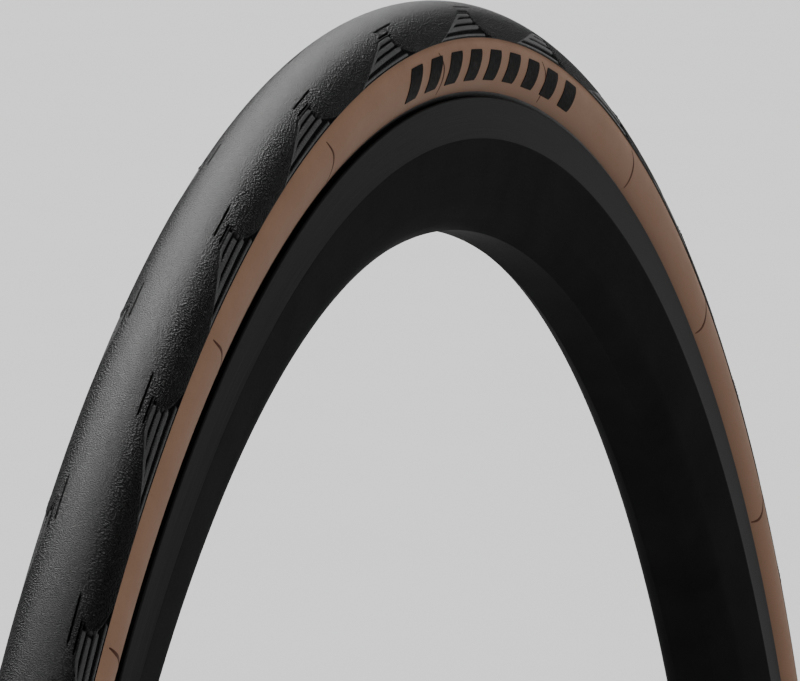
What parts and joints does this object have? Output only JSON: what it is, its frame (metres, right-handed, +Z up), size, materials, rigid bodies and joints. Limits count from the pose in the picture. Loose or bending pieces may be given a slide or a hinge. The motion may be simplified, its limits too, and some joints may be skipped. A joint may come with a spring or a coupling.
{
  "type": "bicycle tyre",
  "caption": "Road bicycle tyre with black siped tread and tan sidewalls, seated on a plain black rim hoop.",
  "frame": {"origin": "centre of the ring, on its axle", "axes": "+Y along the axle towards the right side, +Z up, -Y is the left side"},
  "size_m": [0.6729, 0.0224, 0.673],
  "materials": {
    "tread_rubber": "matte",
    "tan_rubber": "matte",
    "black_rubber": "matte",
    "ply_fabric": "matte",
    "breaker_fabric": "matte",
    "aramid": "satin",
    "label_print": "matte",
    "rim_black": "satin"
  },
  "bodies": {
    "root": {"tread_cap": "tread_rubber", "puncture_breaker": "breaker_fabric", "casing_ply": "ply_fabric", "bead_core_left": "aramid", "bead_core_right": "aramid", "bead_rubber_left": "black_rubber", "bead_rubber_right": "black_rubber", "chafer_left": "black_rubber", "chafer_right": "black_rubber", "sidewall_left": "tan_rubber", "sidewall_right": "tan_rubber", "label_left": "label_print", "label_right": "label_print", "rim": "rim_black"}
  },
  "joints": []
}
